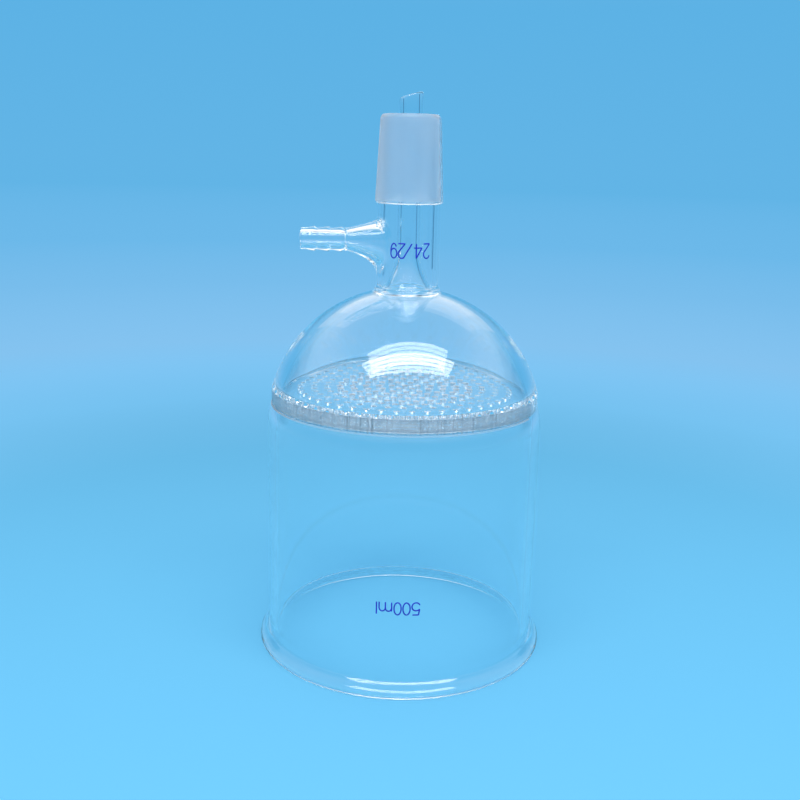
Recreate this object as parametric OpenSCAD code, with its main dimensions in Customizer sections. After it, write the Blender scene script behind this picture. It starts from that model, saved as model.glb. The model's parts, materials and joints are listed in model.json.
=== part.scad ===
// Filter funnel with a perforated glass plate, a ground joint and a hose connector.
// It stands upside down on its flared mouth: the mouth's rim lies in the plane z = 0,
// and the ground joint and the drip tip point up.

/* [Cylinder] */
// Outside diameter of the cylinder
cylinder_d = 100; // [85:1:115]
// Wall of the cylinder
cylinder_wall = 3; // [2:0.25:4]
// Height from the rim to the plate
cylinder_h = 92; // [60:1:130]
// How far the wall draws in where it is fused to the plate
draw_in = 1.5; // [0.5:0.25:3]
// Height over which the wall draws in
draw_in_h = 7; // [5:0.5:12]

/* [Flared lip] */
// How far the lip stands out past the cylinder
lip_flare = 3.4; // [2:0.2:5]
// Height over which the lip flares
lip_h = 8; // [7:0.5:12]
// Thickness of the fire-rounded rim
rim_t = 3; // [2.4:0.2:4]
// Depth of the flat ground on the rim
rim_flat = 0.15; // [0.05:0.05:0.3]

/* [Perforated plate] */
// Thickness of the plate
plate_t = 5; // [3:0.5:8]
// Diameter of each hole
hole_d = 2; // [1.4:0.1:2.6]
// Spacing of the rings of holes
ring_pitch = 4.75; // [4:0.25:7]
// Solid margin between the last ring of holes and the plate's edge
plate_margin = 9; // [7:0.5:16]
// Turn of the pattern about the axis, in degrees
hole_turn = 3.75; // [0:0.25:30]

/* [Dome] */
// Height of the dome above the plate
dome_h = 35; // [28:1:45]
// Wall of the dome
dome_wall = 2.5; // [2:0.25:3.5]

/* [Ring seal] */
// Height of the seal ring between the dome and the neck
seal_h = 1.6; // [1:0.2:2.4]
// How far the seal ring stands out past the neck
seal_proud = 0.75; // [0.25:0.25:1.5]

/* [Ground joint] */
// Diameter at the large end of the ground cone
joint_d = 24; // [23:0.5:29]
// Length of the ground cone
joint_l = 29; // [22:1:35]
// Taper of the ground cone on its diameter
joint_taper = 0.1; // [0.08:0.01:0.12]
// Height of the shoulder between the neck and the cone, on the radius
joint_step = 1; // [0.5:0.25:1.5]
// Rounding of the cone's shoulder and of its small end
joint_round = 1.1; // [0.9:0.1:1.3]
// Length of the neck between the seal ring and the cone
neck_l = 30.4; // [27:0.2:45]
// Wall of the neck
neck_wall = 2.3; // [1.8:0.1:2.5]

/* [Drip stem] */
// Outside diameter of the drip stem
stem_d = 8; // [6.5:0.5:9]
// Wall of the drip stem
stem_wall = 1.4; // [1:0.1:1.8]
// Height over which the stem opens like a trumpet
trumpet_h = 16; // [12:1:24]
// Ledge between the stem's mouth and the neck's bore
mouth_ledge = 1.1; // [0.8:0.1:2]
// How far the stem stands out of the cone, on its axis
tip_l = 6.6; // [4:0.2:16]
// Slant of the cut at the drip tip, in degrees
tip_slant = 16; // [0:1:30]

/* [Hose connector] */
// Height of the connector's axis above the seal ring
side_h = 16.4; // [14:0.2:17]
// Length of the boss, from the neck's wall to the seam
boss_l = 10.7; // [9:0.1:16]
// Straight part of that length, next to the neck
boss_land = 0.7; // [0.4:0.1:2]
// Radius of the boss where it meets the neck
boss_r = 8.9; // [7:0.1:9.5]
// Radius of the boss at the seam
seam_r = 4; // [3.8:0.1:5]
// Radius of the curve of the boss
boss_curve_r = 30; // [20:1:60]
// Bore of the hose connector
hose_bore_d = 5; // [4:0.25:5.5]
// Length of the hose connector, from the seam to the tip
hose_l = 16.5; // [15:0.5:30]
// Number of serrations
tooth_count = 3; // [2:1:3]
// Length of one serration
tooth_pitch = 4.8; // [4:0.1:5.4]
// Length of the steep side of a serration
tooth_step = 1; // [0.6:0.1:1.4]
// Radius over a serration
tooth_r = 4.4; // [4.2:0.1:5]
// Depth of a serration
tooth_depth = 0.45; // [0.2:0.05:0.6]
// Length from the seam to the first serration
root_l = 1.95; // [1.2:0.05:2.2]
// Radius of the connector at the seam
root_r = 3.7; // [3.5:0.1:3.8]

/* [Hidden] */
$fn = 72;
hole_facets = 16;
clear_glass = [0.74, 0.87, 0.95, 0.45];
plate_glass = [0.55, 0.70, 0.80, 0.7];

// Radii, from the wide body to the neck
cylinder_r = cylinder_d / 2;
plate_r = cylinder_r - draw_in;
joint_r = joint_d / 2;
neck_r = joint_r - joint_step;
neck_bore_r = neck_r - neck_wall;
seal_r = neck_r + seal_proud;
stem_r = stem_d / 2;
stem_bore_r = stem_r - stem_wall;
mouth_r = neck_bore_r - mouth_ledge;
hose_bore_r = hose_bore_d / 2;

// Heights, from the rim to the tip
plate_z = cylinder_h;
dome_z = plate_z + plate_t;
seal_z = dome_z + dome_h;
neck_z = seal_z + seal_h;
cone_z = neck_z + neck_l;
cone_top_z = cone_z + joint_l;
side_z = neck_z + side_h;

// The dome is part of a sphere through the plate's edge and the seal ring's edge
dome_centre = (seal_r ^ 2 + dome_h ^ 2 - plate_r ^ 2) / (2 * dome_h);
dome_r = sqrt(plate_r ^ 2 + dome_centre ^ 2);

// A bend that leaves the axis direction smoothly and moves sideways by `out` over `along`
function bend_angle(out, along) = 2 * atan(out / along);
function bend_r(out, along) = along / sin(bend_angle(out, along));

// Centre of the circle of radius r through p and q, on the left going from p to q
function arc_centre(p, q, r) =
    let (chord = q - p, l = norm(chord))
    (p + q) / 2 + sqrt(r ^ 2 - (l / 2) ^ 2) * [-chord[1], chord[0]] / l;

// Radius of the ground cone at height h above its large end
function cone_r(h) = joint_r - h * joint_taper / 2;

// Part of a tube wall that follows an arc, less than a quarter turn, seen in section
module bent_wall(centre, r, wall, from, to) {
    reach = 2 * (r + wall);
    translate(centre)
    intersection() {
        difference() {
            circle(r + wall / 2);
            circle(r - wall / 2);
        }
        polygon([[0, 0], reach * [cos(from), sin(from)], reach * [cos(to), sin(to)]]);
    }
}

// Section of the flared lip: the wall bends outwards and ends in a round rim
module lip_section() {
    rim_r = rim_t / 2;
    rim_centre_z = rim_r - rim_flat;
    out = lip_flare - rim_r + cylinder_wall / 2;
    along = lip_h - rim_centre_z;
    r = bend_r(out, along);
    middle_r = cylinder_r - cylinder_wall / 2;
    bent_wall([middle_r + r, lip_h], r, cylinder_wall, 180, 180 + bend_angle(out, along));
    translate([middle_r + out, rim_centre_z]) circle(rim_r);
}

// Section of the wall where it draws in to the plate
module draw_in_section() {
    r = (draw_in ^ 2 + draw_in_h ^ 2) / (2 * draw_in);
    centre = [cylinder_r - r, cylinder_h - draw_in_h];
    bent_wall(centre, r - cylinder_wall / 2, cylinder_wall, 0, 80);
}

// Cylinder with its flared, fire-rounded and flat-ground lip
module lipped_cylinder() {
    color(clear_glass)
    rotate_extrude()
    intersection() {
        square([cylinder_d, cylinder_h]);
        union() {
            lip_section();
            translate([cylinder_r - cylinder_wall, lip_h])
                square([cylinder_wall, cylinder_h - draw_in_h - lip_h]);
            draw_in_section();
        }
    }
}

// Holes in rings about the axis: one at the centre, then six more in each ring
module hole_rings() {
    ring_count = floor((plate_r - plate_margin - hole_d / 2) / ring_pitch);
    circle(d = hole_d, $fn = hole_facets);
    for (ring = [1 : ring_count], i = [0 : 6 * ring - 1])
        rotate(hole_turn + 60 * i / ring)
        translate([ring * ring_pitch, 0])
            circle(d = hole_d, $fn = hole_facets);
}

// Flat plate drilled with rings of holes, which carries the filter paper
module perforated_plate() {
    color(plate_glass)
    translate([0, 0, plate_z])
    linear_extrude(plate_t)
    difference() {
        circle(plate_r);
        hole_rings();
    }
}

// Shoulder of the funnel, blown to part of a sphere
module dome() {
    color(clear_glass)
    translate([0, 0, dome_z])
    rotate_extrude()
    intersection() {
        translate([mouth_r, 0]) square([plate_r, dome_h]);
        translate([0, dome_centre])
        difference() {
            circle(dome_r);
            circle(dome_r - dome_wall);
        }
    }
}

// Section of the stem's trumpet mouth and of the ring that seals it to the neck
module trumpet_section() {
    out = mouth_r - stem_bore_r;
    r = bend_r(out, trumpet_h);
    bent_wall([stem_bore_r + r, trumpet_h], r - stem_wall / 2, stem_wall,
        180, 180 + bend_angle(out, trumpet_h));
    translate([mouth_r, 0]) square([seal_r - seal_h / 2 - mouth_r, seal_h]);
    translate([seal_r - seal_h / 2, seal_h / 2]) circle(seal_h / 2);
}

// Drip stem: trumpet mouth, long tube and slanted tip
module drip_stem() {
    tip_z = cone_top_z + tip_l;
    color(clear_glass)
    difference() {
        translate([0, 0, seal_z])
        rotate_extrude() {
            trumpet_section();
            translate([stem_bore_r, trumpet_h])
                square([stem_wall, tip_z + stem_d - seal_z - trumpet_h]);
        }
        translate([0, 0, tip_z])
        rotate([0, -tip_slant, 0])
        translate([-joint_d, -joint_d, 0])
            cube([2 * joint_d, 2 * joint_d, joint_d]);
    }
}

// Outside of the neck and of the ground cone, before they are bored
module neck_body() {
    round_z = cone_top_z - joint_round;
    round_r = cone_r(joint_l - joint_round);
    rotate_extrude() {
        translate([0, neck_z]) square([neck_r, neck_l]);
        polygon([[0, cone_z], [joint_r, cone_z], [round_r, round_z], [0, round_z]]);
        translate([0, round_z]) square([round_r - joint_round, joint_round]);
        translate([round_r - joint_round, round_z]) circle(joint_round);
        difference() {
            translate([joint_r - joint_round, cone_z]) circle(joint_round);
            translate([0, cone_z]) square(joint_d);
        }
    }
}

// Flared solid along the side connector's axis, from the neck's axis to the seam:
// its radius is `wide` until just past the neck's wall, and curves down to `narrow`
module flared_solid(narrow, wide, curve_r) {
    seam = neck_r + boss_l;
    centre = arc_centre([narrow, seam], [wide, neck_r + boss_land], curve_r);
    translate([0, 0, side_z])
    rotate([0, -90, 0])
    rotate_extrude()
    difference() {
        square([wide, seam]);
        translate(centre) circle(curve_r);
    }
}

// Neck tube with the ground cone at its end and the boss drawn out of its side
module joint_neck() {
    boss_wall = seam_r - hose_bore_r;
    color(clear_glass)
    difference() {
        union() {
            neck_body();
            flared_solid(seam_r, boss_r, boss_curve_r);
        }
        translate([0, 0, neck_z - 1])
            cylinder(r = neck_bore_r, h = cone_top_z - neck_z + 2);
        flared_solid(hose_bore_r, boss_r - boss_wall, boss_curve_r + boss_wall);
    }
}

// Section of the serrated connector, from the seam to its rounded tip
module barb_section() {
    low_r = tooth_r - tooth_depth;
    tip_r = (low_r - hose_bore_r) / 2;
    teeth = [for (i = [0 : tooth_count - 1])
        let (crest = root_l + i * tooth_pitch, last = i == tooth_count - 1)
        each [[tooth_r, crest], [low_r, last ? hose_l - tip_r : crest + tooth_pitch - tooth_step]]];
    polygon([[hose_bore_r, 0], [root_r, 0], each teeth, [hose_bore_r, hose_l - tip_r]]);
    translate([hose_bore_r + tip_r, hose_l - tip_r]) circle(tip_r);
}

// Serrated hose connector, fused to the boss at the seam
module hose_barb() {
    color(clear_glass)
    translate([-neck_r - boss_l, 0, side_z])
    rotate([0, -90, 0])
    rotate_extrude() barb_section();
}

lipped_cylinder();
perforated_plate();
dome();
drip_stem();
joint_neck();
hose_barb();
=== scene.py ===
"""Looks of the perforated-plate filter funnel: fused glass, blue marks and a pale studio.

Lengths are in millimetres until a mesh is finished, and then in metres.
"""

import json
import math

import bmesh
import bpy
from mathutils import Matrix, Vector

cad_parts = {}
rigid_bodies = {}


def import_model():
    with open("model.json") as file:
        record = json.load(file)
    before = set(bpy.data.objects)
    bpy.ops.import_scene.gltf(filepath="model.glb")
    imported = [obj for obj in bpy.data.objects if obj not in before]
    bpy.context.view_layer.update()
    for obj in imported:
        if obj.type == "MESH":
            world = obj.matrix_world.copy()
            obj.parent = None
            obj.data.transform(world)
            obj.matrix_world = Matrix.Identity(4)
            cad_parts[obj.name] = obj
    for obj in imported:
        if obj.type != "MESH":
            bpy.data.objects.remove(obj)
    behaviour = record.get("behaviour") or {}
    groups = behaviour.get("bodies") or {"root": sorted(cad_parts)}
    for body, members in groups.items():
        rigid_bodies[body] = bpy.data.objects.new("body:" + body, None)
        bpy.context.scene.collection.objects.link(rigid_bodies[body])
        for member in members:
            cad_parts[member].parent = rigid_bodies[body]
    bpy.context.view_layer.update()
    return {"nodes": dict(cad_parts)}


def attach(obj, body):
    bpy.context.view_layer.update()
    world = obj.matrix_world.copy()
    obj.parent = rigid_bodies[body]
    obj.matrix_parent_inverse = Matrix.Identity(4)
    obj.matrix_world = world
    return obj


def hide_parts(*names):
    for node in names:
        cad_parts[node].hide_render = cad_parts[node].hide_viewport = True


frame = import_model()

MM = 0.001
TAU = 2 * math.pi
CLEAR, GROUND, SATIN = 0, 1, 2  # finishes of the glass, kept on the profile's points
SAME_POINT = 1e-4  # points nearer than this count as one
FINE_WELD = 1e-3  # the same, inside one turned or drilled shape
SEAM_WELD = 0.01  # the same, where two shapes are fused
SHARP_ANGLE = math.radians(32)
FINISH_MARGIN = 0.1
CUT_EDGE_DROP = 0.7  # how far the cut edge's finish reaches below the plate

# Radii and heights of the solids
CYLINDER_R = 50.0
CYLINDER_WALL = 3.0
LIP_Z = 8.0
LIP_FLARE = 3.4
CREASE_R = 1.5
CREASE_Z = 6.3
CREASE_TURN = 50.0
SHOULDER_R = 7.0
SHOULDER_TURN = 40.0
RIM_R = 1.5
RIM_FLAT = 0.15
DRAW_IN = 1.5
DRAW_IN_H = 7.0
PLATE_Z = 92.0
PLATE_T = 5.0
DOME_H = 35.0
DOME_FOOT_WALL = 4.3
DOME_TOP_WALL = 2.05
DOME_FOOT_ANGLE = 28.4
DOME_TOP_ANGLE = 76.0
DOME_STEPS = 32
SEAL_H = 1.6
NECK_R = 11.0
NECK_BORE_R = 8.7
NECK_L = 30.4
JOINT_R = 12.0
JOINT_L = 29.0
JOINT_SLOPE = 0.05
JOINT_ROUND = 1.1
BEVEL_H = 1.3
BEVEL_R = 4.5
BEVEL_ANGLES = (22.0, 40.0)
TOP_ROUND = 0.2
STEM_R = 4.0
STEM_BORE_R = 2.6
TRUMPET_H = 16.0
MOUTH_R = 7.6
TIP_L = 6.6
TIP_SLANT = math.radians(16)
SIDE_H = 16.4
BOSS_L = 10.7
SEAM_R = 4.0
HOSE_BORE_R = 2.5
HOSE_L = 16.5
TOOTH_R = 4.4
TOOTH_LOW_R = 3.8
TOOTH_CRESTS = (1.95, 6.75, 11.55)
TOOTH_SLOPE_L = 3.8
HOSE_TIP_ROUND = 0.72

PLATE_R = CYLINDER_R - DRAW_IN
SEAL_R = NECK_R + 0.75
PLATE_TOP_Z = PLATE_Z + PLATE_T
SEAL_Z = PLATE_TOP_Z + DOME_H
NECK_Z = SEAL_Z + SEAL_H
CONE_Z = NECK_Z + NECK_L
CONE_TOP_Z = CONE_Z + JOINT_L
TIP_Z = CONE_TOP_Z + TIP_L
SIDE_Z = NECK_Z + SIDE_H
SEAM_X = NECK_R + BOSS_L
DOME_C = (SEAL_R**2 + DOME_H**2 - PLATE_R**2) / (2 * DOME_H)
DOME_R = math.hypot(PLATE_R, DOME_C)
DOME_CENTRE = (0.0, PLATE_TOP_Z + DOME_C)

# Drilled pattern of the plate
HOLE_RINGS = 8
HOLE_PITCH = 4.75
HOLE_R = 1.0
HOLE_EDGE = 0.2
HOLE_SIDES = 14
HOLE_TURN = math.radians(3.75)
FIELD_R = 41.0

# Printed marks: signs with their left edge and width, read with the funnel the other way up
JOINT_SIZE = [("2", 0.0, 2.4), ("4", 3.1, 2.8), ("/", 6.7, 2.9), ("2", 9.0, 2.4), ("9", 11.9, 2.3)]
JOINT_SIZE_H = 5.0
JOINT_SIZE_Z = 147.22
JOINT_SIZE_TURN = 0.0800
CAPACITY = [("5", 0.0, 2.8), ("0", 3.4, 2.4), ("0", 6.4, 2.4), ("m", 9.6, 4.2), ("l", 14.7, 0.0)]
CAPACITY_H = 4.4
CAPACITY_Z = 32.24
CAPACITY_TURN = -0.0082
PEN_R = 0.24
PEN_SIDES = 8
PEN_STEP = 0.25
PEN_RELIEF = 0.25  # share of the pen's roundness that stands proud of the glass
PEN_LIFT = 0.012

# Faces around the body and around the side connector
BODY_STEPS = 144
SIDE_STEPS = 90
WINDOW_COLUMNS = 54
WINDOW_ROWS = 36
WINDOW_LOW = SIDE_Z - 13.5
WINDOW_HIGH = SIDE_Z + 11.5

# The boss, outside and inside: radius of the wall that it leaves, half its opening there, how much
# more of it lies below, radius at the seam, and the pull of its curve at the wall, at the seam and
# below
BOSS_SKINS = (
    (NECK_R, 8.0, 4.9, SEAM_R, (1.3, 6.0, 3.4)),
    (NECK_BORE_R, 6.0, 4.6, HOSE_BORE_R, (1.3, 7.0, 3.4)),
)
WALL_SHARES = (0.25, 0.5, 0.72, 0.88, 1.0)  # rings between the window's border and the opening
BOSS_RINGS = 14
INWARD = 0.97  # share of the opening, for the place that shows which way its curve leaves the wall
SEAM_SPREAD = 0.25


# --- Sections, as lists of (radius, height) --------------------------------------------


def on_circle(centre, radius, angle):
    """The point of a circle at an angle in degrees."""
    turn = math.radians(angle)
    return centre[0] + radius * math.cos(turn), centre[1] + radius * math.sin(turn)


def arc(centre, radius, start, end, step=3.0):
    """Points on an arc from one angle to another, in degrees."""
    count = max(2, math.ceil(abs(end - start) / step))
    angles = [start + (end - start) * i / count for i in range(count + 1)]
    return [on_circle(centre, radius, angle) for angle in angles]


def line(start, end, step=5.0):
    """Points along a straight line, both ends among them."""
    count = max(1, math.ceil(math.dist(start, end) / step))
    return [tuple(s + (e - s) * i / count for s, e in zip(start, end)) for i in range(count + 1)]


def walk(points, start, distance, direction):
    """The point at a distance along a chain from one of its points, and the next point's index."""
    here, i = points[start], start + direction
    while 0 < i < len(points) - 1 and math.dist(here, points[i]) < distance:
        distance -= math.dist(here, points[i])
        here, i = points[i], i + direction
    share = min(1.0, distance / max(math.dist(here, points[i]), 1e-9))
    return tuple(h + (p - h) * share for h, p in zip(here, points[i])), i


def softened(points, corner, reach, steps=5):
    """The chain with one corner melted round, from `reach` before it to `reach` after it."""
    at = min(range(len(points)), key=lambda i: math.dist(points[i], corner))
    before, left = walk(points, at, reach, -1)
    after, right = walk(points, at, reach, 1)
    bend = []
    for i in range(steps + 1):
        t = i / steps
        bend.append(tuple(
            (1 - t) ** 2 * b + 2 * t * (1 - t) * c + t**2 * a
            for b, c, a in zip(before, points[at], after)
        ))
    return points[: left + 1] + bend + points[right:]


def joined(*chains):
    """One chain out of several, without the points that they share."""
    points = []
    for chain in chains:
        for p in chain:
            if not points or math.dist(points[-1], p) > SAME_POINT:
                points.append(p)
    return points


def bend_angle(out, along):
    """Angle of a bend that moves sideways by `out` over `along`, in degrees."""
    return 2 * math.degrees(math.atan(out / along))


def dome_wall(angle):
    """Thickness of the dome's wall, which thins towards the neck, at an angle above its middle."""
    share = (angle - DOME_FOOT_ANGLE) / (DOME_TOP_ANGLE - DOME_FOOT_ANGLE)
    share = min(1.0, max(0.0, share))
    return DOME_FOOT_WALL - (DOME_FOOT_WALL - DOME_TOP_WALL) * share**2 * (3 - 2 * share)


def window_heights():
    """Heights of the rows of faces beside the window for the side connector."""
    whole = WINDOW_HIGH - WINDOW_LOW
    return [WINDOW_LOW + whole * i / WINDOW_ROWS for i in range(WINDOW_ROWS + 1)]


def body_section():
    """The whole turned surface as one chain, from the plate's top round to its underside."""
    plate_angle = math.degrees(math.asin(-DOME_C / (DOME_R - DOME_FOOT_WALL)))
    mouth_angle = math.degrees(math.acos(MOUTH_R / (DOME_R - DOME_TOP_WALL)))
    dome_inside = []
    for i in range(DOME_STEPS + 1):
        angle = plate_angle + (mouth_angle - plate_angle) * i / DOME_STEPS
        dome_inside.append(on_circle(DOME_CENTRE, DOME_R - dome_wall(angle), angle))

    out = MOUTH_R - STEM_BORE_R
    turn = bend_angle(out, TRUMPET_H)
    bend = TRUMPET_H / math.sin(math.radians(turn))
    trumpet_centre = (STEM_BORE_R + bend, SEAL_Z + TRUMPET_H)
    trumpet_inside = arc(trumpet_centre, bend, 180 + turn, 180, 3)
    stem_inside = line((STEM_BORE_R, SEAL_Z + TRUMPET_H), (STEM_BORE_R, TIP_Z))
    stem_outside = line((STEM_R, TIP_Z), (STEM_R, SEAL_Z + TRUMPET_H))
    stem_wall = STEM_R - STEM_BORE_R
    groove_angle = 180 + math.degrees(math.asin((trumpet_centre[1] - NECK_Z) / (bend - stem_wall)))
    trumpet_outside = arc(trumpet_centre, bend - stem_wall, 180, groove_angle, 3)

    rows = window_heights()
    bore = joined(
        [(NECK_BORE_R, NECK_Z)],
        [(NECK_BORE_R, z) for z in rows],
        line((NECK_BORE_R, rows[-1]), (NECK_BORE_R, CONE_TOP_Z), 3),
    )
    top_r = JOINT_R - (JOINT_L - JOINT_ROUND) * JOINT_SLOPE
    cone_top = cone_end(top_r)
    cone = line((top_r, CONE_TOP_Z - BEVEL_H), (JOINT_R, CONE_Z), 2)
    shoulder = arc((JOINT_R - JOINT_ROUND, CONE_Z), JOINT_ROUND, 0, -85, 14)
    neck = joined(
        shoulder,
        [(NECK_R, rows[-1])],
        [(NECK_R, z) for z in reversed(rows)],
        [(NECK_R, NECK_Z)],
    )
    seal = arc((SEAL_R - SEAL_H / 2, SEAL_Z + SEAL_H / 2), SEAL_H / 2, 80, -45, 15)
    dome_outside = arc(
        DOME_CENTRE, DOME_R, math.degrees(math.acos((SEAL_R + 0.1) / DOME_R)),
        math.degrees(math.asin(-DOME_C / DOME_R)), 2,
    )
    plate_edge = [(PLATE_R, PLATE_TOP_Z), (PLATE_R, PLATE_TOP_Z - PLATE_T / 2), (PLATE_R, PLATE_Z)]

    draw_r = (DRAW_IN**2 + DRAW_IN_H**2) / (2 * DRAW_IN)
    draw_centre = (CYLINDER_R - draw_r, PLATE_Z - DRAW_IN_H)
    outside_end = math.degrees(math.asin(DRAW_IN_H / draw_r))
    inside_end = math.degrees(math.asin(DRAW_IN_H / (draw_r - CYLINDER_WALL)))
    draw_outside = arc(draw_centre, draw_r, outside_end, 0)
    draw_inside = arc(draw_centre, draw_r - CYLINDER_WALL, 0, inside_end)

    rim_z = RIM_R - RIM_FLAT
    half = CYLINDER_WALL / 2
    lip_out = LIP_FLARE - RIM_R + half
    lip_turn = bend_angle(lip_out, LIP_Z - rim_z)
    lip_r = (LIP_Z - rim_z) / math.sin(math.radians(lip_turn))
    lip_centre = (CYLINDER_R - half + lip_r, LIP_Z)
    rim_centre = (CYLINDER_R - half + lip_out, rim_z)
    flat_angle = math.degrees(math.asin(rim_z / RIM_R))
    crease = arc((CYLINDER_R + CREASE_R, CREASE_Z), CREASE_R, 180, 180 + CREASE_TURN, 5)
    tilt = math.radians(CREASE_TURN)
    shoulder_centre = (crease[-1][0] - SHOULDER_R * math.cos(tilt),
                       crease[-1][1] - SHOULDER_R * math.sin(tilt))
    lip_outside = joined(crease, arc(shoulder_centre, SHOULDER_R, CREASE_TURN, SHOULDER_TURN, 2))
    rim = joined(
        arc(rim_centre, RIM_R, SHOULDER_TURN, -flat_angle, 10),
        arc(rim_centre, RIM_R, flat_angle - 180, lip_turn - 180, 5),
    )
    lip_inside = arc(lip_centre, lip_r + half, 180 + lip_turn, 180, 4)

    wall_r = CYLINDER_R - CYLINDER_WALL
    inside_top = draw_inside[-1][0]
    chain = joined(
        line((FIELD_R, PLATE_TOP_Z), dome_inside[0], 2.5),
        dome_inside, trumpet_inside, stem_inside, stem_outside, trumpet_outside, bore,
        cone_top, cone, neck, seal, dome_outside, plate_edge, draw_outside,
        line((CYLINDER_R, PLATE_Z - DRAW_IN_H), (CYLINDER_R, CREASE_Z), 6),
        lip_outside, rim, lip_inside,
        line((wall_r, LIP_Z), (wall_r, PLATE_Z - DRAW_IN_H), 6),
        draw_inside,
        line((inside_top, PLATE_Z), (FIELD_R, PLATE_Z), 2.5),
    )
    for corner, reach in (  # how far the glass is melted round on each side of a corner
        (dome_inside[0], 0.6),
        (dome_inside[-1], 1.3),
        (stem_inside[-1], 0.6),
        (stem_outside[0], 0.6),
        (trumpet_outside[-1], 0.45),
        ((NECK_BORE_R, CONE_TOP_Z), 0.35),
        ((NECK_R, NECK_Z), 0.9),
        (dome_outside[0], 0.9),
        (plate_edge[0], 0.15),
        (plate_edge[-1], 0.15),
        ((inside_top, PLATE_Z), 0.5),
    ):
        chain = softened(chain, corner, reach)
    return joined(chain)


def cone_end(top_r):
    """The joint's top end, from the edge of its flat top down a shallow round bevel."""
    low, high = BEVEL_ANGLES
    foot = (top_r, CONE_TOP_Z - BEVEL_H)
    centre = tuple(p - BEVEL_R * f(math.radians(low)) for p, f in zip(foot, (math.cos, math.sin)))
    bevel = arc(centre, BEVEL_R, high, low, 3)
    return joined([(bevel[0][0] - TOP_ROUND, CONE_TOP_Z)], bevel)


def finish_at(radius, height):
    """The glass's finish at a point of the section."""
    low, high = CONE_Z - FINISH_MARGIN, CONE_TOP_Z - FINISH_MARGIN
    if low < height < high and radius > NECK_BORE_R + 1:
        return GROUND
    low, high = PLATE_Z - CUT_EDGE_DROP, PLATE_TOP_Z + FINISH_MARGIN
    if low < height < high and radius > PLATE_R - FINISH_MARGIN:
        return SATIN
    return CLEAR


def barb_section():
    """The serrated connector's surface, from the seam round its tip and back through its bore."""
    tip_z = HOSE_L - HOSE_TIP_ROUND
    # A melted bead round the seam, then the waist before the first tooth
    bead = [(SEAM_R, 0.0), (SEAM_R + 0.22, 0.3), (SEAM_R + 0.2, 0.6), (3.72, 1.0)]
    corners = []
    for crest in TOOTH_CRESTS:
        corners += [(TOOTH_R, crest), (TOOTH_LOW_R, min(crest + TOOTH_SLOPE_L, tip_z))]
    chain = joined(
        bead, corners,
        arc((HOSE_BORE_R + HOSE_TIP_ROUND, tip_z), HOSE_TIP_ROUND, 0, 180, 20),
        line((HOSE_BORE_R, tip_z), (HOSE_BORE_R, 0.0)),
    )
    for corner in corners[:-1]:
        chain = softened(chain, corner, 0.2, 3)
    return joined(chain)


# --- Geometry nodes ---------------------------------------------------------------------


def new_tree(name, **inputs):
    """An empty tree with a geometry in and out, and an input for each size."""
    tree = bpy.data.node_groups.new(name, "GeometryNodeTree")
    tree.interface.new_socket("Geometry", in_out="INPUT", socket_type="NodeSocketGeometry")
    for key, kind in inputs.items():
        tree.interface.new_socket(key, in_out="INPUT", socket_type="NodeSocket" + kind)
    tree.interface.new_socket("Geometry", in_out="OUTPUT", socket_type="NodeSocketGeometry")
    return tree, tree.nodes.new("NodeGroupInput").outputs


def put(tree, kind, *inputs, **settings):
    """Adds a node, with its inputs in order: a socket is linked, None is skipped."""
    node = tree.nodes.new(kind)
    for key, value in settings.items():
        setattr(node, key, value)
    sockets = [s for s in node.inputs if s.enabled]
    for socket, value in zip(sockets, inputs):
        if isinstance(value, bpy.types.NodeSocket):
            tree.links.new(value, socket)
        elif value is not None:
            socket.default_value = value
    return node


def first(node):
    """The first output in use of a node."""
    return next(s for s in node.outputs if s.enabled)


def sum_of(tree, operation, *inputs):
    """A number from a Math node."""
    return first(put(tree, "ShaderNodeMath", *inputs, operation=operation))


def close_tree(tree, geometry, materials):
    """Ends a tree: real geometry, and a material for each finish."""
    out = first(put(tree, "GeometryNodeRealizeInstances", geometry))
    for finish, material in materials:
        chosen = True
        if finish is not None:
            mark = put(tree, "GeometryNodeInputNamedAttribute", "finish", data_type="INT")
            chosen = first(put(tree, "FunctionNodeCompare", first(mark), finish,
                               data_type="INT", operation="EQUAL"))
        out = first(put(tree, "GeometryNodeSetMaterial", out, chosen, material))
    put(tree, "NodeGroupOutput", out)


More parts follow.
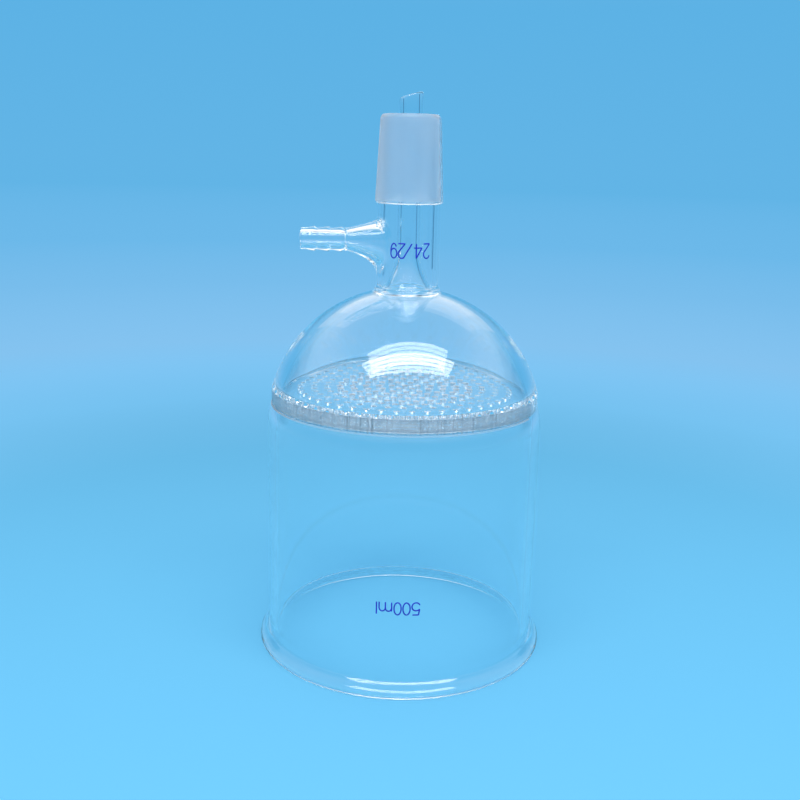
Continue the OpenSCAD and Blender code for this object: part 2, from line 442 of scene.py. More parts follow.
def turned_tree(materials):
    """Turns a chain of points (radius, 0, height) about Z. Input Steps is the count of faces."""
    tree, size = new_tree("turned_wall", Steps="Int")
    count = first(put(tree, "GeometryNodeAttributeDomainSize", size["Geometry"]))
    columns = first(put(tree, "FunctionNodeIntegerMath", size["Steps"], 1, operation="ADD"))
    grid = first(put(tree, "GeometryNodeMeshGrid", 1.0, 1.0, columns, count))
    index = first(put(tree, "GeometryNodeInputIndex"))
    row = first(put(tree, "FunctionNodeIntegerMath", index, count, operation="MODULO"))
    column = first(put(tree, "FunctionNodeIntegerMath", index, count, operation="DIVIDE_FLOOR"))
    turn = sum_of(tree, "DIVIDE", sum_of(tree, "MULTIPLY", column, TAU), size["Steps"])

    def sampled(kind, value):
        return first(put(
            tree, "GeometryNodeSampleIndex", size["Geometry"], value, row, data_type=kind))

    def named(kind, name):
        return first(put(tree, "GeometryNodeInputNamedAttribute", name, data_type=kind))

    place = sampled("FLOAT_VECTOR", first(put(tree, "GeometryNodeInputPosition")))
    round_z = first(put(tree, "ShaderNodeVectorRotate", place, (0, 0, 0), turn,
                        rotation_type="Z_AXIS"))
    across = first(put(tree, "ShaderNodeSeparateXYZ", round_z))
    rise = sum_of(tree, "MULTIPLY", across, sampled("FLOAT", named("FLOAT", "slant")))
    lift = first(put(tree, "ShaderNodeCombineXYZ", 0.0, 0.0, rise))
    placed = first(put(tree, "GeometryNodeSetPosition", grid, None, round_z, lift))
    kept = first(put(tree, "GeometryNodeStoreNamedAttribute", placed, None, "finish",
                     sampled("INT", named("INT", "finish")), data_type="INT"))
    welded = first(put(tree, "GeometryNodeMergeByDistance", kept, None, FINE_WELD))
    close_tree(tree, welded, materials)
    return tree


def perforated_tree(material):
    """A flat disc drilled with rings of holes: one at the centre, six more in each ring."""
    tree, size = new_tree(
        "perforated_field", Rings="Int", Pitch="Float", HoleRadius="Float", HoleSides="Int",
        Turn="Float", FieldRadius="Float", Steps="Int", Top="Float", Thickness="Float",
        HoleWall="Object",
    )
    more = sum_of(tree, "ADD", size["Rings"], 1.0)
    count = sum_of(tree, "MULTIPLY_ADD", sum_of(tree, "MULTIPLY", size["Rings"], more), 3.0, 1.0)
    index = first(put(tree, "GeometryNodeInputIndex"))
    root = sum_of(tree, "SQRT", sum_of(tree, "MULTIPLY_ADD", index, 12.0, -3.0))
    ring = sum_of(tree, "FLOOR", sum_of(tree, "DIVIDE", sum_of(tree, "ADD", root, 3.0), 6.0))
    inner = sum_of(tree, "MULTIPLY", ring, sum_of(tree, "SUBTRACT", ring, 1.0))
    start = sum_of(tree, "MULTIPLY_ADD", inner, 3.0, 1.0)
    place = sum_of(tree, "DIVIDE", sum_of(tree, "SUBTRACT", index, start), ring)
    turn = sum_of(tree, "MULTIPLY_ADD", place, TAU / 6, size["Turn"])
    radius = sum_of(tree, "MULTIPLY", ring, size["Pitch"])
    spot = first(put(tree, "ShaderNodeCombineXYZ", radius, 0.0, 0.0))
    spot = first(put(tree, "ShaderNodeVectorRotate", spot, (0, 0, 0), turn,
                     rotation_type="Z_AXIS"))
    spots = first(put(tree, "GeometryNodePoints", count, spot))

    def copied(shape):
        on_spots = first(put(tree, "GeometryNodeInstanceOnPoints", spots, None, shape))
        return first(put(tree, "GeometryNodeRealizeInstances", on_spots))

    def circle(sides, radius):
        return first(put(tree, "GeometryNodeCurvePrimitiveCircle", size[sides], size[radius]))

    hole = circle("HoleSides", "HoleRadius")
    edge = circle("Steps", "FieldRadius")
    outline = put(tree, "GeometryNodeJoinGeometry")
    tree.links.new(edge, outline.inputs[0])
    tree.links.new(copied(hole), outline.inputs[0])
    sheet = first(put(tree, "GeometryNodeFillCurve", first(outline)))
    top = first(put(tree, "ShaderNodeCombineXYZ", 0.0, 0.0, size["Top"]))
    low = first(put(tree, "ShaderNodeCombineXYZ", 0.0, 0.0,
                    sum_of(tree, "SUBTRACT", size["Top"], size["Thickness"])))
    above = first(put(tree, "GeometryNodeSetPosition", sheet, None, None, top))
    below = first(put(tree, "GeometryNodeSetPosition",
                      first(put(tree, "GeometryNodeFlipFaces", sheet)), None, None, low))
    liner = put(tree, "GeometryNodeObjectInfo", size["HoleWall"])
    everything = put(tree, "GeometryNodeJoinGeometry")
    for part in (above, below, copied(liner.outputs["Geometry"])):
        tree.links.new(part, everything.inputs[0])
    welded = first(put(tree, "GeometryNodeMergeByDistance", first(everything), None, FINE_WELD))
    close_tree(tree, welded, [(None, material)])
    return tree


def added(name, data):
    """A new object in the scene."""
    made = bpy.data.objects.new(name, data)
    bpy.context.scene.collection.objects.link(made)
    return made


def finished_mesh(name, bm):
    """A mesh out of what was built, which is then let go."""
    mesh = bpy.data.meshes.new(name)
    bm.to_mesh(mesh)
    bm.free()
    return mesh


def grown(name, mesh, tree, **inputs):
    """The mesh that a tree makes of another mesh."""
    seed = added(name, mesh)
    nodes = seed.modifiers.new(name, "NODES")
    nodes.node_group = tree
    for item in tree.interface.items_tree:
        if item.in_out == "INPUT" and item.name in inputs:
            nodes[item.identifier] = inputs[item.name]
    depsgraph = bpy.context.evaluated_depsgraph_get()
    made = bpy.data.meshes.new_from_object(seed.evaluated_get(depsgraph), depsgraph=depsgraph)
    bpy.data.objects.remove(seed)
    return made


def chain_mesh(name, points):
    """A chain of points as a mesh of edges, with the finish and the slant at each."""
    mesh = bpy.data.meshes.new(name)
    edges = [(i, i + 1) for i in range(len(points) - 1)]
    mesh.from_pydata([(r, 0, z) for r, z in points], edges, [])
    finishes = [finish_at(r, z) for r, z in points]
    slants = [math.tan(TIP_SLANT) * (z > TIP_Z - 2 and r < STEM_R + 0.1) for r, z in points]
    mesh.attributes.new("finish", "INT", "POINT").data.foreach_set("value", finishes)
    mesh.attributes.new("slant", "FLOAT", "POINT").data.foreach_set("value", slants)
    return mesh


# --- Side connector ---------------------------------------------------------------------


def window_border(radius):
    """The corners of the faces round the window, as (arc length, height) from its middle."""
    step = TAU / BODY_STEPS * radius
    rows = [z - SIDE_Z for z in window_heights()]
    half = WINDOW_COLUMNS // 2
    top = [(i * step, rows[-1]) for i in range(half, -half, -1)]
    left = [(-half * step, z) for z in reversed(rows[1:])]
    low = [(i * step, rows[0]) for i in range(-half, half)]
    right = [(half * step, z) for z in rows[:-1]]
    return top + left + low + right


def on_neck(radius, across, height):
    """A point of the neck's wall, from the arc length and the height off the connector's axis."""
    turn = across / radius
    return Vector((-radius * math.cos(turn), radius * math.sin(turn), SIDE_Z + height))


def flare_rings(radius, opening, droop, end_r, pulls):
    """Rings of points from the window's border over the neck, then out along the boss."""
    border = window_border(radius)
    rings = [[on_neck(radius, *p) for p in border]]
    around = [math.atan2(h, a) for a, h in border[::2]]
    step = TAU / SIDE_STEPS
    even = [TAU / 4 + step * (i - WINDOW_COLUMNS / 4) for i in range(SIDE_STEPS)]
    mouth = []
    for angle in around:
        r = opening + droop * max(0.0, -math.sin(angle)) ** 2
        side = r * math.cos(angle)
        mouth.append((radius * math.asin(side / radius), r * math.sin(angle)))
    for share in WALL_SHARES:
        rings.append([
            on_neck(radius, b[0] + (m[0] - b[0]) * share, b[1] + (m[1] - b[1]) * share)
            for b, m in zip(border[::2], mouth)
        ])
    for i in range(1, BOSS_RINGS + 1):
        t = i / BOSS_RINGS
        ring = []
        for angle, far_angle, (across, height) in zip(around, even, mouth):
            start = on_neck(radius, across, height)
            out = Vector((0, math.cos(far_angle), math.sin(far_angle)))
            leave = (on_neck(radius, across * INWARD, height * INWARD) - start).normalized()
            end = Vector((-SEAM_X, 0, SIDE_Z)) + out * end_r
            low = max(0.0, -math.sin(angle))
            first_handle = start + leave * (pulls[0] + pulls[2] * low)
            last_handle = end + Vector((1, 0, 0)) * pulls[1] + out * pulls[1] * SEAM_SPREAD
            ring.append(
                (1 - t) ** 3 * start + 3 * t * (1 - t) ** 2 * first_handle
                + 3 * t**2 * (1 - t) * last_handle + t**3 * end
            )
        rings.append(ring)
    return rings


def skin(bm, rings):
    """Faces between rings of points. A ring may have half as many points as the one before it."""
    layers = [[bm.verts.new(p) for p in ring] for ring in rings]
    for one, two in zip(layers, layers[1:]):
        n, m = len(one), len(two)
        for i in range(m):
            j = (i + 1) % m
            if n == m:
                bm.faces.new((one[i], one[j], two[j], two[i]))
            else:
                a, b, c = one[2 * i], one[2 * i + 1], one[(2 * i + 2) % n]
                bm.faces.new((a, b, two[i]))
                bm.faces.new((b, c, two[j], two[i]))


def boss_mesh():
    """The boss drawn out of the neck, outside and inside, up to the seam."""
    bm = bmesh.new()
    for sizes in BOSS_SKINS:
        skin(bm, flare_rings(*sizes))
    return finished_mesh("boss", bm)


def in_window(face):
    """True for a face of the neck's or the bore's wall that the boss takes the place of."""
    middle = face.calc_center_median()
    turn = abs(math.atan2(middle.y, -middle.x))
    return (
        WINDOW_LOW < middle.z < WINDOW_HIGH
        and turn < TAU / BODY_STEPS * WINDOW_COLUMNS / 2
        and math.hypot(middle.x, middle.y) > NECK_BORE_R - 0.3
    )


# --- Blue marks --------------------------------------------------------------------------


def bow(centre, across, up, start, end):
    """Points on part of an ellipse, with angles in degrees."""
    return [(centre[0] + across * x, centre[1] + up * y) for x, y in arc((0, 0), 1, start, end, 15)]


def glyph(sign, w, h):
    """The pen's strokes for one figure or letter of a given width and height."""
    if sign == "0":
        return [bow((w / 2, h / 2), w / 2, h / 2, 90, 450)]
    if sign == "2":
        return [bow((w / 2, 0.71 * h), w / 2, 0.29 * h, 165, -38) + [(0, 0), (w, 0)]]
    if sign == "4":
        return [[(w, 0.28 * h), (0, 0.28 * h), (0.72 * w, h), (0.72 * w, 0)]]
    if sign == "5":
        return [[(0.92 * w, h), (0.2 * w, h), (0.08 * w, 0.54 * h)]
                + bow((w / 2, 0.33 * h), w / 2, 0.33 * h, 130, -155)]
    if sign == "9":
        return [bow((w / 2, 0.67 * h), w / 2, 0.33 * h, 0, 360),
                bow((w / 2, 0.5 * h), w / 2, h / 2, 18, -145)]
    if sign == "m":
        arches = [bow((w * x, 0.46 * h), w / 4, 0.27 * h, 180, 0) + [(w * (x + 0.25), 0)]
                  for x in (0.25, 0.75)]
        return [[(0, 0), (0, 0.73 * h)]] + arches
    return [[(0, 0), (w, h)]]  # a slanted bar, or an upright one where it has no width


def mark_mesh(name, signs, height):
    """Signs in a row, turned upside down round their middle, as a flat mesh of edges."""
    points, edges = [], []
    middle = (signs[0][1] + signs[-1][1] + signs[-1][2]) / 2
    for sign, left, width in signs:
        for stroke in glyph(sign, width, height):
            edges += [(len(points) + i, len(points) + i + 1) for i in range(len(stroke) - 1)]
            points += [(middle - left - x, height / 2 - y, 0) for x, y in stroke]
    mesh = bpy.data.meshes.new(name)
    mesh.from_pydata(points, edges, [])
    return mesh


def stroke_tree(material):
    """Thin raised strokes on a round upright wall, along lines that were drawn flat."""
    tree, size = new_tree(
        "enamel_strokes", WallRadius="Float", Turn="Float", Middle="Float", PenRadius="Float")
    line_curve = first(put(tree, "GeometryNodeMeshToCurve", size["Geometry"]))
    even = first(put(
        tree, "GeometryNodeResampleCurve", line_curve, None, PEN_STEP, mode="LENGTH"))
    pen = first(put(tree, "GeometryNodeCurvePrimitiveCircle", PEN_SIDES, size["PenRadius"]))
    stroke = tree.nodes.new("GeometryNodeCurveToMesh")
    for key, value in (("Curve", even), ("Profile Curve", pen)):
        tree.links.new(value, stroke.inputs[key])
    stroke.inputs["Fill Caps"].default_value = True
    flat = put(tree, "ShaderNodeSeparateXYZ", first(put(tree, "GeometryNodeInputPosition"))).outputs
    angle = sum_of(tree, "ADD", sum_of(tree, "DIVIDE", flat["X"], size["WallRadius"]), size["Turn"])
    proud = sum_of(tree, "MULTIPLY_ADD", flat["Z"], PEN_RELIEF, sum_of(
        tree, "MULTIPLY_ADD", size["PenRadius"], PEN_RELIEF, PEN_LIFT))
    radius = sum_of(tree, "ADD", size["WallRadius"], proud)
    back = sum_of(tree, "MULTIPLY", sum_of(tree, "COSINE", angle), radius)
    spot = first(put(
        tree, "ShaderNodeCombineXYZ", sum_of(tree, "MULTIPLY", sum_of(tree, "SINE", angle), radius),
        sum_of(tree, "MULTIPLY", back, -1.0), sum_of(tree, "ADD", flat["Y"], size["Middle"])))
    wrapped = first(put(tree, "GeometryNodeSetPosition", first(stroke), None, spot))
    close_tree(tree, wrapped, [(None, material)])
    return tree


def mark(name, signs, height, tree, **place):
    """A printed mark, as a closed thin layer on the glass."""
    mesh = grown(name, mark_mesh(name + "_lines", signs, height), tree, PenRadius=PEN_R, **place)
    bm = bmesh.new()
    bm.from_mesh(mesh)
    bmesh.ops.remove_doubles(bm, verts=bm.verts, dist=SAME_POINT)
    bmesh.ops.recalc_face_normals(bm, faces=bm.faces)
    bmesh.ops.scale(bm, vec=(MM, MM, MM), verts=bm.verts)
    for f in bm.faces:
        f.smooth = len(f.verts) == 4
    bm.to_mesh(mesh)
    bm.free()
    made = piece(name, mesh, ())
    return made


# --- Finished pieces --------------------------------------------------------------------


def piece(name, mesh, materials):
    """An object at the origin with its place in its mesh, riding on the part's one body."""
    made = added(name, mesh)
    for material in materials:
        mesh.materials.append(material)
    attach(made, "root")
    return made


def turned_wall(name, points, tree, steps):
    """A chain of points turned about Z."""
    return grown(name, chain_mesh(name, points), tree, Steps=steps)


def side_barb(tree):
    """The serrated connector, laid out along its axis up to the seam on the boss."""
    barb = turned_wall("barb_profile", barb_section(), tree, SIDE_STEPS)
    half_step = Matrix.Rotation(TAU / SIDE_STEPS / 2, 4, "Z")
    outwards = Matrix.Rotation(-TAU / 4, 4, "Y")
    barb.transform(Matrix.Translation((-SEAM_X, 0, SIDE_Z)) @ outwards @ half_step)
    return barb


def drilled_field(tree, clear):
    """The plate's flat middle, with the walls of its drilled holes."""
    wide = HOLE_R + HOLE_EDGE
    wall = [
        (wide, PLATE_TOP_Z), (HOLE_R, PLATE_TOP_Z - HOLE_EDGE), (HOLE_R, PLATE_Z + HOLE_EDGE),
        (wide, PLATE_Z),
    ]
    liner = added("hole_wall", turned_wall("hole_profile", wall, tree, HOLE_SIDES))
    field = grown(
        "field", bpy.data.meshes.new("field"), perforated_tree(clear), Rings=HOLE_RINGS,
        Pitch=HOLE_PITCH, HoleRadius=wide, HoleSides=HOLE_SIDES, Turn=HOLE_TURN,
        FieldRadius=FIELD_R, Steps=BODY_STEPS, Top=PLATE_TOP_Z, Thickness=PLATE_T, HoleWall=liner,
    )
    bpy.data.objects.remove(liner)
    return field


def glass_body(clear, ground, satin):
    """All six glass pieces, fused into one closed body."""
    turned = turned_tree([(None, clear), (GROUND, ground), (SATIN, satin)])
    body = turned_wall("body_profile", body_section(), turned, BODY_STEPS)
    barb = side_barb(turned)
    field = drilled_field(turned, clear)

    bm = bmesh.new()
    bm.from_mesh(body)
    bmesh.ops.delete(bm, geom=[f for f in bm.faces if in_window(f)], context="FACES")
    order = {m.name: i for i, m in enumerate((clear, ground, satin))}
    for f in bm.faces:
        f.material_index = order[body.materials[f.material_index].name]
    for mesh in (field, barb, boss_mesh()):
        start = len(bm.faces)
        bm.from_mesh(mesh)
        bm.faces.ensure_lookup_table()
        for f in bm.faces[start:]:
            f.material_index = 0
    bmesh.ops.remove_doubles(bm, verts=bm.verts, dist=SEAM_WELD)
    bmesh.ops.recalc_face_normals(bm, faces=bm.faces)
    open_edges = sum(1 for e in bm.edges if len(e.link_faces) != 2)
    volume = bm.calc_volume(signed=True)
    print("glass body:", len(bm.verts), "points,", open_edges, "open edges,", round(volume), "mm3")
    if volume < 0:
        bmesh.ops.reverse_faces(bm, faces=bm.faces)
    bmesh.ops.scale(bm, vec=(MM, MM, MM), verts=bm.verts)
    mesh = finished_mesh("fused_glass", bm)
    for f in mesh.polygons:
        f.use_smooth = True
    mesh.set_sharp_from_angle(angle=SHARP_ANGLE)
    return piece("fused_glass", mesh, (clear, ground, satin))


# --- Materials --------------------------------------------------------------------------

GLASS_IOR = 1.473
EDGE_TINT = (0.45, 0.62, 0.70, 1)  # of the light that comes through glass seen edge on
CUT_LINE_TONES = [  # along the fine lines of the plate's edge, colour
    (0.36, (0.10, 0.16, 0.19)),
    (0.48, (0.44, 0.53, 0.57)),
    (0.7, (0.56, 0.65, 0.69)),
]


def new_material(name):
    """An empty node material, its tree and its output's surface socket."""
    material = bpy.data.materials.new(name)
    material.use_nodes = True
    tree = material.node_tree
    tree.nodes.clear()
    return material, tree, tree.nodes.new("ShaderNodeOutputMaterial").inputs["Surface"]


def blend(tree, share, low, high):
    """A colour between two, by a share from 0 to 1."""
    node = tree.nodes.new("ShaderNodeMix")
    node.data_type = "RGBA"
    tree.links.new(share, node.inputs[0])
    node.inputs[6].default_value = low
    node.inputs[7].default_value = high
    return node.outputs[2]


def let_lamps_through(tree, shader, surface, tint):
    """Links a glass shader to the output so that lamps shine through it, less so at its edges."""
    facing = tree.nodes.new("ShaderNodeLayerWeight").outputs["Facing"]
    colour = blend(tree, ranged(tree, facing, (0.55, 1.0), (0.0, 1.0)), tint, EDGE_TINT)
    clear = first(put(tree, "ShaderNodeBsdfTransparent", colour))
    path = tree.nodes.new("ShaderNodeLightPath").outputs
    lit = sum_of(tree, "MAXIMUM", path["Is Shadow Ray"], path["Is Diffuse Ray"])
    tree.links.new(first(put(tree, "ShaderNodeMixShader", lit, shader, clear)), surface)


def principled(tree, **values):
    """A Principled shader with sockets or plain values."""
    node = tree.nodes.new("ShaderNodeBsdfPrincipled")
    for key, value in values.items():
        socket = node.inputs[key.replace("_", " ")]
        if isinstance(value, bpy.types.NodeSocket):
            tree.links.new(value, socket)
        else:
            socket.default_value = value
    return node


def object_place(tree):
    """The place of a point on its piece, in metres."""
    return tree.nodes.new("ShaderNodeTexCoord").outputs["Object"]


def stretched(tree, place, scale):
    """A place scaled along each axis, which draws a texture out where the scale is small."""
    mapping = put(tree, "ShaderNodeMapping", place)
    mapping.inputs["Scale"].default_value = scale
    return first(mapping)


def noise(tree, place, scale, detail, roughness=0.5, dimensions="3D"):
    """Smooth noise from 0 to 1, over a place or along one number."""
    node = tree.nodes.new("ShaderNodeTexNoise")
    node.noise_dimensions = dimensions
    if dimensions == "1D":
        tree.links.new(place, node.inputs["W"])
    else:
        tree.links.new(place, node.inputs["Vector"])
    node.inputs["Scale"].default_value = scale
    node.inputs["Detail"].default_value = detail
    node.inputs["Roughness"].default_value = roughness
    return node.outputs["Fac"]


def bump(tree, height, distance, normal=None):
    """Relief of a depth in metres, laid over an earlier one if there is one."""
    node = tree.nodes.new("ShaderNodeBump")
    node.inputs["Strength"].default_value = 1.0
    node.inputs["Distance"].default_value = distance
    tree.links.new(height, node.inputs["Height"])
    if normal:
        tree.links.new(normal, node.inputs["Normal"])
    return node.outputs["Normal"]


def ranged(tree, value, source, target):
    """A value moved from one range, as a low and a high end, to another."""
    node = tree.nodes.new("ShaderNodeMapRange")
    tree.links.new(value, node.inputs["Value"])
    for key, number in zip(("From Min", "From Max", "To Min", "To Max"), (*source, *target)):
        node.inputs[key].default_value = number
    return first(node)


def clear_glass():
    """Blown borosilicate glass: faint waves and drawn streaks."""
    material, tree, surface = new_material("blown_glass")
    place = object_place(tree)
    waves = noise(tree, place, scale=55.0, detail=1.0)
    streaks = noise(tree, stretched(tree, place, (1.0, 1.0, 0.12)), scale=260.0, detail=2.0)
    relief = bump(tree, waves, distance=0.00003)
    relief = bump(tree, streaks, distance=0.000004, normal=relief)
    shader = principled(
        tree, Base_Color=(0.975, 0.992, 0.997, 1), Roughness=0.0, IOR=GLASS_IOR,
        Transmission_Weight=1.0, Normal=relief,
    )
    let_lamps_through(tree, first(shader), surface, (0.975, 0.985, 0.99, 1))
    return material


def ground_glass():
    """Finely ground cone: milky, with a fine grain and faint grinding rings."""
    material, tree, surface = new_material("ground_cone")
    place = object_place(tree)
    grain = noise(tree, place, scale=5200.0, detail=2.0)
    rings = noise(tree, stretched(tree, place, (0.05, 0.05, 1.0)), scale=1500.0, detail=2.0)
    cloud = noise(tree, place, scale=90.0, detail=3.0)
    relief = bump(tree, grain, distance=0.00002)
    relief = bump(tree, rings, distance=0.000012, normal=relief)
    rough = ranged(tree, cloud, (0.3, 0.7), (0.42, 0.52))
    glass = principled(
        tree, Base_Color=(0.87, 0.90, 0.94, 1), Roughness=rough, IOR=GLASS_IOR,
        Transmission_Weight=1.0, Normal=relief,
    )
    powder = principled(
        tree, Base_Color=(0.74, 0.76, 0.80, 1), Roughness=0.9, Normal=relief,
    )
    facing = tree.nodes.new("ShaderNodeLayerWeight").outputs["Facing"]
    dust = ranged(tree, facing, (0.25, 0.95), (0.10, 0.42))
    milk = first(put(tree, "ShaderNodeMixShader", dust, first(glass), first(powder)))
    let_lamps_through(tree, milk, surface, (0.75, 0.8, 0.85, 1))
    return material


def satin_glass():
    """The plate's cut edge: fine lines across it, a little cloudy."""
    material, tree, surface = new_material("plate_edge")
    place = object_place(tree)
    axes = put(tree, "ShaderNodeSeparateXYZ", place).outputs
    turn = sum_of(tree, "ARCTAN2", axes["Y"], axes["X"])
    lines = noise(tree, turn, scale=62.0, detail=4.0, roughness=0.7, dimensions="1D")
    grain = noise(tree, place, scale=3000.0, detail=2.0)
    relief = bump(tree, lines, distance=0.0003)
    relief = bump(tree, grain, distance=0.000004, normal=relief)
    tone = colour_ramp(tree, lines, CUT_LINE_TONES)
    glass = principled(
        tree, Base_Color=tone, Roughness=ranged(tree, lines, (0.3, 0.7), (0.05, 0.2)),
        IOR=GLASS_IOR, Transmission_Weight=1.0, Normal=relief,
    )
    let_lamps_through(tree, first(glass), surface, (0.7, 0.78, 0.82, 1))
    return material


def blue_enamel():
    """Fired blue ink, slightly uneven."""
    material, tree, surface = new_material("blue_enamel")
    cloud = noise(tree, object_place(tree), scale=900.0, detail=3.0)
    tone = blend(tree, cloud, (0.006, 0.012, 0.46, 1), (0.014, 0.03, 0.62, 1))
    shader = principled(
        tree, Base_Color=tone, Roughness=ranged(tree, cloud, (0.3, 0.7), (0.35, 0.55)),
        Normal=bump(tree, cloud, distance=0.00001),
    )
    tree.links.new(first(shader), surface)
    return material


# --- Studio -----------------------------------------------------------------------------

NEAR_BLUE = (0.139, 0.516, 0.862)
HORIZON_BLUE = (0.122, 0.458, 0.792)
# Where the floor glows, these colours are painted light, lightest from 0.4 to 0.63 m.
FLOOR_BLUES = (  # distance from the middle in metres, colour
    (0.25, NEAR_BLUE),
    (0.40, (0.190, 0.575, 0.940)),
    (0.63, (0.231, 0.546, 0.871)),
    (1.10, (0.188, 0.509, 0.839)),
    (1.85, (0.150, 0.483, 0.820)),
    (6.00, HORIZON_BLUE),
)
SKY_BLUES = (  # sine of the elevation, colour
    (0.0, HORIZON_BLUE),
    (0.139, (0.109, 0.445, 0.783)),
    (0.20, (0.13, 0.45, 0.77)),
    (0.36, (0.60, 0.80, 0.95)),
    (0.56, (1.00, 1.06, 1.12)),
    (0.76, (0.45, 0.58, 0.70)),
    (1.0, (0.20, 0.32, 0.44)),
)
FLOOR_EDGE = 6.0
FLOOR_RINGS = (0.05, 0.15, 0.4, 1.0, 2.5, FLOOR_EDGE)
FLOOR_SIDES = 64
FLOOR_MELT = (0.22, 0.55)  # distances at which the floor starts and ends to glow evenly, with painted light in place of lamplight
PANEL_HEIGHT = 1.0
PANEL_LENGTH = 1.4
PANEL_STRIPS = 5
PANEL_STEP = 0.077
PANEL_GAP = 0.013
PANEL_START = 0.30
PANEL_SHIFT = (0, -0.04, 0.115)
PANEL_TURN = math.radians(5)
PANEL_COLOUR = (1.0, 0.93, 0.89)
PANEL_RADIANCE = 12.0
AMBIENT = 0.45
FLAG_TURN = 59.0  # degrees to each side of straight behind
FLAG_AWAY = 1.3
FLAG_HALF_W = 0.17
FLAG_HALF_H = 0.25
CAMERA_PLACE = (0, -0.3525, 0.1778)
CAMERA_TURN = 0.27
CAMERA_DROP = 13.72
CAMERA_ROLL = 1.3
GLASS_BOUNCES = 96
OTHER_BOUNCES = 48


def seen_share(tree):
    """1 for rays that the camera, a reflection or glass sends, and 0 for the rest."""
    path = tree.nodes.new("ShaderNodeLightPath").outputs
    seen = sum_of(tree, "MAXIMUM", path["Is Camera Ray"], path["Is Glossy Ray"])
    return sum_of(tree, "MAXIMUM", seen, path["Is Transmission Ray"])


def colour_ramp(tree, value, stops):
    """Colours along a value from 0 to 1."""
    ramp = tree.nodes.new("ShaderNodeValToRGB")
    tree.links.new(value, ramp.inputs[0])
    ends = ramp.color_ramp.elements
    ends[0].position, ends[0].color = stops[0][0], (*stops[0][1], 1)
    ends[1].position, ends[1].color = stops[-1][0], (*stops[-1][1], 1)
    for position, colour in stops[1:-1]:
        ends.new(position).color = (*colour, 1)
    return first(ramp)


def surround():
    """A plain pale blue that whitens higher up and greys overhead, and an even white fill light."""
    world = bpy.data.worlds.new("pale_surround")
    bpy.context.scene.world = world
    world.use_nodes = True
    tree = world.node_tree
    tree.nodes.clear()
    direction = tree.nodes.new("ShaderNodeTexCoord").outputs["Generated"]
    up = put(tree, "ShaderNodeSeparateXYZ", direction).outputs["Z"]
    seen = first(put(tree, "ShaderNodeBackground", colour_ramp(tree, up, SKY_BLUES), 1.0))
    fill = first(put(tree, "ShaderNodeBackground", (1, 1, 1, 1), AMBIENT))
    both = first(put(tree, "ShaderNodeMixShader", seen_share(tree), fill, seen))
    put(tree, "ShaderNodeOutputWorld", both)


def floor():
    """A wide pale floor that melts into the surround far from the funnel, where it glows with
    painted light.
    """
    bm = bmesh.new()
    turns = [TAU * i / FLOOR_SIDES for i in range(FLOOR_SIDES)]
    skin(bm, [[Vector((r * math.cos(a), r * math.sin(a), 0)) for a in turns] for r in FLOOR_RINGS])
    inner = [v for v in bm.verts if v.co.length < 1.2 * FLOOR_RINGS[0]]
    bmesh.ops.contextual_create(bm, geom=inner)
    bmesh.ops.recalc_face_normals(bm, faces=bm.faces)
    mesh = finished_mesh("floor", bm)
    made = added("floor", mesh)
    material, tree, surface = new_material("pale_floor")
    away = put(
        tree, "ShaderNodeVectorMath", object_place(tree), operation="LENGTH").outputs["Value"]
    share = ranged(tree, away, FLOOR_MELT, (0.0, 1.0))
    share.node.interpolation_type = "SMOOTHSTEP"
    share = sum_of(tree, "MULTIPLY", share, seen_share(tree))
    stops = [(distance / FLOOR_EDGE, colour) for distance, colour in FLOOR_BLUES]
    tone = colour_ramp(tree, sum_of(tree, "DIVIDE", away, FLOOR_EDGE), stops)
    near = first(put(tree, "ShaderNodeBsdfDiffuse", tone))
    # Painted light: far off, the floor glows with its colour instead of being lit by the lamps.
    far = first(put(tree, "ShaderNodeEmission", tone, 1.0))
    tree.links.new(first(put(tree, "ShaderNodeMixShader", share, near, far)), surface)
    mesh.materials.append(material)


def panel_strips():
    """A wide soft panel high up in front, in strips side by side."""
    place = Matrix.Translation(PANEL_SHIFT) @ Matrix.Rotation(PANEL_TURN, 4, "Z")
    for i in range(PANEL_STRIPS):
        lamp = bpy.data.lights.new("panel_strip", "AREA")
        lamp.shape = "RECTANGLE"
        lamp.size = PANEL_LENGTH * PANEL_HEIGHT
        lamp.size_y = (PANEL_STEP - PANEL_GAP) * PANEL_HEIGHT
        lamp.energy = PANEL_RADIANCE * math.pi * lamp.size * lamp.size_y
        lamp.color = PANEL_COLOUR
        forward = (PANEL_START + PANEL_STEP * (i + 0.5)) * PANEL_HEIGHT
        strip = added("panel_strip", lamp)
        strip.matrix_world = place @ Matrix.Translation((0, -forward, PANEL_HEIGHT))


def card(name, middle, across, up, colour, strength):
    """A flat glowing card that only glass and glossy surfaces show."""
    mesh = bpy.data.meshes.new(name)
    ways = (across - up, -across - up, up - across, across + up)
    mesh.from_pydata([middle + way for way in ways], [], [(0, 1, 2, 3)])
    material, tree, surface = new_material(name)
    tree.links.new(first(put(tree, "ShaderNodeEmission", colour, strength)), surface)
    mesh.materials.append(material)
    made = added(name, mesh)
    made.visible_camera = made.visible_diffuse = made.visible_shadow = False


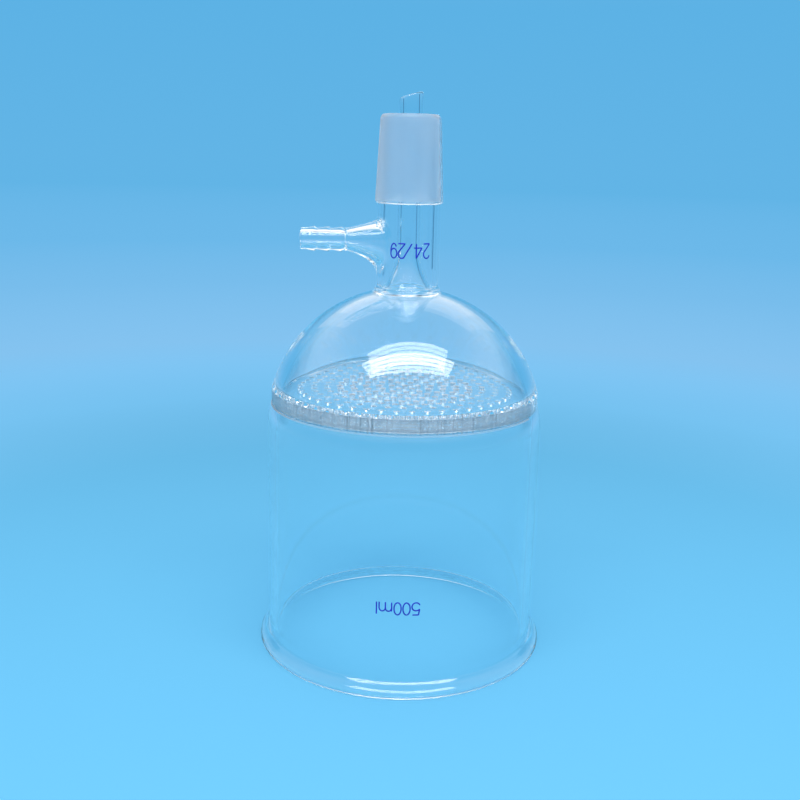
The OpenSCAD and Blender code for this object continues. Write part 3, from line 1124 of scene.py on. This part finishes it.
def cards():
    """Two upright dark cards that line the glass walls, and a white one high up at the back."""
    for side in (-1, 1):
        turn = math.radians(90 - side * FLAG_TURN)
        card(
            "flag",
            middle=Vector((FLAG_AWAY * math.cos(turn), FLAG_AWAY * math.sin(turn), FLAG_HALF_H)),
            across=Vector((-math.sin(turn), math.cos(turn), 0)) * FLAG_HALF_W,
            up=Vector((0, 0, FLAG_HALF_H)), colour=(0.05, 0.20, 0.38, 1), strength=1.0,
        )
    card(
        "bounce_card", middle=Vector((0, 1.0, 1.0)), across=Vector((0.9, 0, 0)),
        up=Vector((0, -0.3, 0.3)), colour=(1.0, 0.97, 0.95, 1), strength=1.35,
    )


def camera():
    """The camera, low in front of the funnel and looking slightly down."""
    data = bpy.data.cameras.new("camera")
    data.sensor_width = 36.0
    data.lens = 44.29
    data.clip_start = 0.01
    made = added("camera", data)
    made.matrix_world = (
        Matrix.Translation(CAMERA_PLACE)
        @ Matrix.Rotation(math.radians(CAMERA_TURN), 4, "Z")
        @ Matrix.Rotation(math.radians(90 - CAMERA_DROP), 4, "X")
        @ Matrix.Rotation(math.radians(CAMERA_ROLL), 4, "Z")
    )
    bpy.context.scene.camera = made


camera()
surround()
floor()
panel_strips()
cards()
body = glass_body(clear_glass(), ground_glass(), satin_glass())
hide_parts(*sorted(frame["nodes"]))
strokes = stroke_tree(blue_enamel())
mark("mark_24_29", JOINT_SIZE, JOINT_SIZE_H, strokes, WallRadius=NECK_R,
     Turn=JOINT_SIZE_TURN, Middle=JOINT_SIZE_Z)
mark("mark_500_ml", CAPACITY, CAPACITY_H, strokes, WallRadius=CYLINDER_R,
     Turn=CAPACITY_TURN, Middle=CAPACITY_Z)

scene = bpy.context.scene
scene.view_settings.view_transform = "Standard"
scene.cycles.max_bounces = GLASS_BOUNCES
scene.cycles.transmission_bounces = GLASS_BOUNCES
scene.cycles.glossy_bounces = OTHER_BOUNCES
scene.cycles.transparent_max_bounces = OTHER_BOUNCES
scene.cycles.caustics_reflective = False
scene.cycles.caustics_refractive = False
